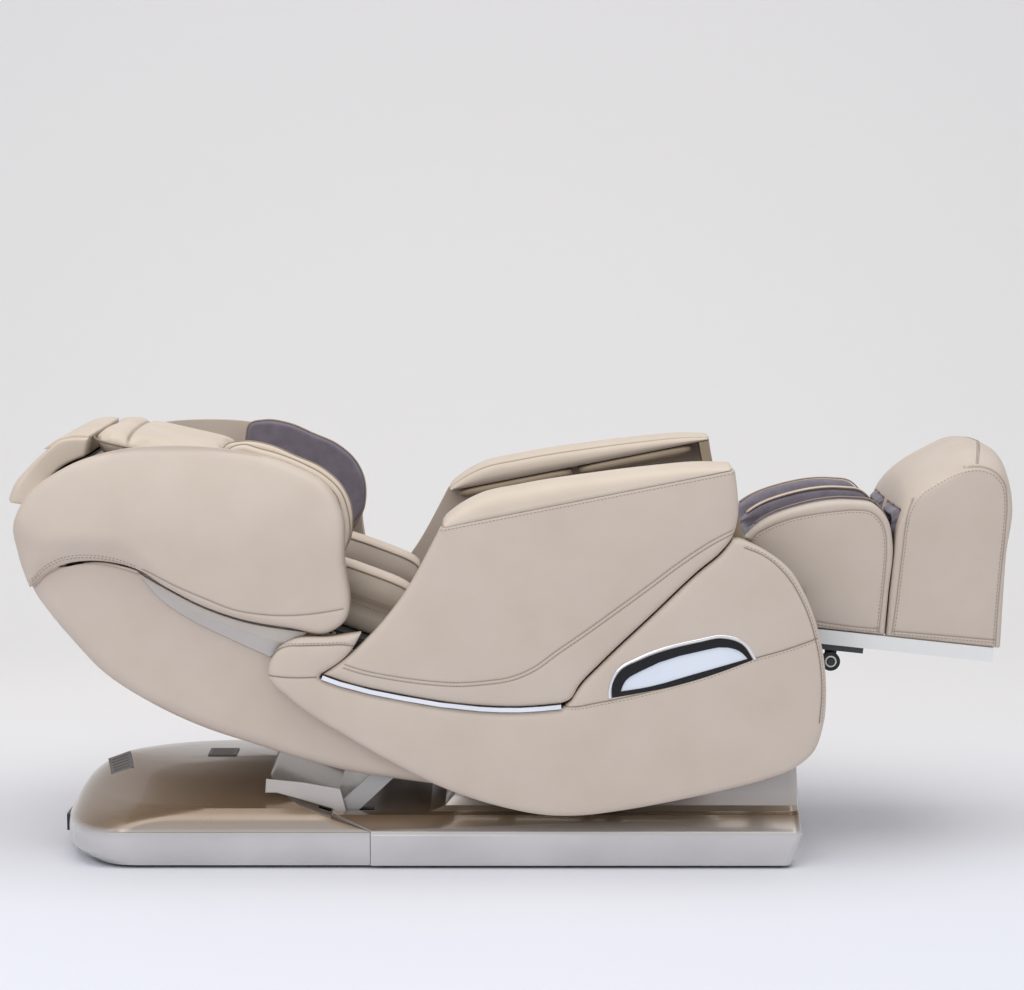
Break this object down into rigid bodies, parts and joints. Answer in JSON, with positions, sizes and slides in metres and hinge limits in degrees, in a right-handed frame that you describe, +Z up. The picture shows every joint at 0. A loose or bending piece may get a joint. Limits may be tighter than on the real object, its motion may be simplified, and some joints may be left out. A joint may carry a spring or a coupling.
{
  "type": "massage chair",
  "caption": "Padded full-body massage chair, reclined, with forearm slots, a powered backrest with kneading rollers, and a leg rest with an extending foot unit.",
  "frame": {"origin": "on the floor, at the middle of the chair's length and width", "axes": "+X runs from the head end to the foot end, +Y to the sitter's left, +Z up"},
  "size_m": [1.922, 0.754, 0.8159],
  "materials": {
    "leather_beige": "satin pinkish beige upholstery",
    "leather_light": "satin light beige upholstery",
    "fabric_mauve": "soft purple-grey lining",
    "cover_bronze": "metallic champagne paint on plastic",
    "cover_silver": "metallic silver grey paint on plastic",
    "trim_silver": "bright silver paint on plastic",
    "trim_chrome": "polished",
    "panel_black": "gloss black",
    "lens_white": "smooth milky lens",
    "plastic_grey": "matte grey",
    "plastic_black": "matte black",
    "plastic_ivory": "matte ivory",
    "steel_dark": "dark grey powder coat",
    "steel_white": "white powder coat",
    "steel_bright": "brushed",
    "link_grey": "silver grey paint",
    "rubber_black": "matte"
  },
  "bodies": {
    "base": {"base_tray": "steel_dark", "rubber_feet": "rubber_black", "rear_cover": "cover_bronze", "front_cover": "cover_silver", "pivot_stands": "steel_dark", "tilt_shaft": "steel_bright", "control_box": "plastic_black", "air_pump": "plastic_grey", "power_inlet": "plastic_black", "vent_grilles": "plastic_grey", "screw_caps": "plastic_ivory"},
    "power_switch": {"power_switch": "plastic_black"},
    "transport_wheels": {"transport_wheels": "plastic_black"},
    "lift_sleeve": {"lift_sleeves": "link_grey"},
    "lift_rod": {"lift_rods": "steel_bright"},
    "seat": {"seat_frame": "steel_dark", "knee_shaft": "steel_bright", "seat_pan": "steel_dark", "seat_cushion": "fabric_mauve", "side_panel_right": "leather_beige", "side_panel_left": "leather_beige", "arm_cover_right": "leather_beige", "arm_cover_left": "leather_beige", "arm_shells": "plastic_grey", "arm_pad_right": "leather_light", "arm_pad_left": "leather_light", "arm_airbags": "leather_light", "arm_trays": "fabric_mauve", "chrome_strips": "trim_chrome", "lamp_housings": "panel_black", "lamp_lenses": "lens_white"},
    "backrest": {"back_frame": "steel_dark", "back_shell": "leather_beige", "back_rails": "steel_bright", "back_cushion": "fabric_mauve", "head_pillow": "leather_light", "head_flap": "leather_light", "side_shield_right": "leather_beige", "side_shield_left": "leather_beige", "shoulder_pad_right": "leather_light", "shoulder_pad_left": "leather_light", "side_bolsters": "leather_light", "spear_trims": "trim_silver", "speaker_grilles": "trim_silver"},
    "carriage": {"massage_carriage": "steel_dark", "carriage_motor": "plastic_black"},
    "knead": {"kneading_arms": "steel_bright"},
    "upper_rollers": {"upper_rollers": "plastic_ivory"},
    "lower_rollers": {"lower_rollers": "plastic_ivory"},
    "back_drive": {"back_drive": "plastic_black"},
    "back_drive_rod": {"back_drive_rod": "steel_bright"},
    "legrest": {"legrest_frame": "steel_dark", "calf_panels": "leather_beige", "calf_lining": "fabric_mauve"},
    "guide_rollers": {"guide_rollers": "rubber_black"},
    "foot": {"foot_cover": "leather_beige", "foot_lining": "fabric_mauve", "foot_rails": "steel_white", "sole_axle": "steel_bright"},
    "sole_rollers": {"sole_rollers": "plastic_ivory"}
  },
  "joints": [
    {"name": "seat_tilt", "type": "hinge", "parent": "base", "child": "seat", "pos_m": [0.476, 0, 0.25], "axis": [0, 1, 0], "range_deg": [0, 12]},
    {"name": "back_recline", "type": "hinge", "parent": "seat", "child": "backrest", "pos_m": [-0.168, 0, 0.36], "axis": [0, 1, 0], "range_deg": [0, 30]},
    {"name": "legrest_lift", "type": "hinge", "parent": "seat", "child": "legrest", "pos_m": [0.53, 0, 0.488], "axis": [0, 1, 0], "range_deg": [0, 58]},
    {"name": "foot_extend", "type": "slide", "parent": "legrest", "child": "foot", "axis": [0.9942, 0, -0.108], "range_m": [0, 0.12]},
    {"name": "carriage_slide", "type": "slide", "parent": "backrest", "child": "carriage", "axis": [-0.9397, 0, 0.342], "range_m": [-0.19, 0.17]},
    {"name": "knead_swing", "type": "hinge", "parent": "carriage", "child": "knead", "pos_m": [-0.48836, 0, 0.44468], "axis": [0, 1, 0], "range_deg": [-8, 8]},
    {"name": "upper_roller_spin", "type": "hinge", "parent": "knead", "child": "upper_rollers", "pos_m": [-0.54474, 0, 0.4652], "axis": [0, 1, 0], "continuous": true},
    {"name": "lower_roller_spin", "type": "hinge", "parent": "knead", "child": "lower_rollers", "pos_m": [-0.43198, 0, 0.42415], "axis": [0, 1, 0], "continuous": true},
    {"name": "guide_roller_spin", "type": "hinge", "parent": "legrest", "child": "guide_rollers", "pos_m": [0.60908, 0, 0.36876], "axis": [0, 1, 0], "continuous": true},
    {"name": "sole_roller_spin", "type": "hinge", "parent": "foot", "child": "sole_rollers", "pos_m": [0.89602, 0, 0.46836], "axis": [0, 1, 0], "continuous": true},
    {"name": "wheel_spin", "type": "hinge", "parent": "base", "child": "transport_wheels", "pos_m": [-0.751, 0, 0.029], "axis": [0, 1, 0], "continuous": true},
    {"name": "switch_rock", "type": "hinge", "parent": "base", "child": "power_switch", "pos_m": [-0.849, -0.114, 0.046], "axis": [0, 1, 0], "range_deg": [0, 12]},
    {"name": "sleeve_pivot", "type": "hinge", "parent": "base", "child": "lift_sleeve", "pos_m": [-0.327, 0, 0.079], "axis": [0, 1, 0], "range_deg": [-13, 0]},
    {"name": "lift_rod_slide", "type": "slide", "parent": "lift_sleeve", "child": "lift_rod", "axis": [0.726, 0, 0.6876], "range_m": [0, 0.108]},
    {"name": "drive_pivot", "type": "hinge", "parent": "seat", "child": "back_drive", "pos_m": [0.162, 0, 0.3], "axis": [0, 1, 0], "range_deg": [0, 5.2]},
    {"name": "drive_rod_slide", "type": "slide", "parent": "back_drive", "child": "back_drive_rod", "axis": [-0.9905, 0, -0.1376], "range_m": [0, 0.0482]}
  ],
  "couplings": [
    {"joint": "sleeve_pivot", "follows": "seat_tilt", "ratio": -1.0748},
    {"joint": "lift_rod_slide", "follows": "seat_tilt", "m_per_rad": 0.5152},
    {"joint": "drive_pivot", "follows": "back_recline", "ratio": 0.1695},
    {"joint": "drive_rod_slide", "follows": "back_recline", "m_per_rad": 0.0917}
  ]
}
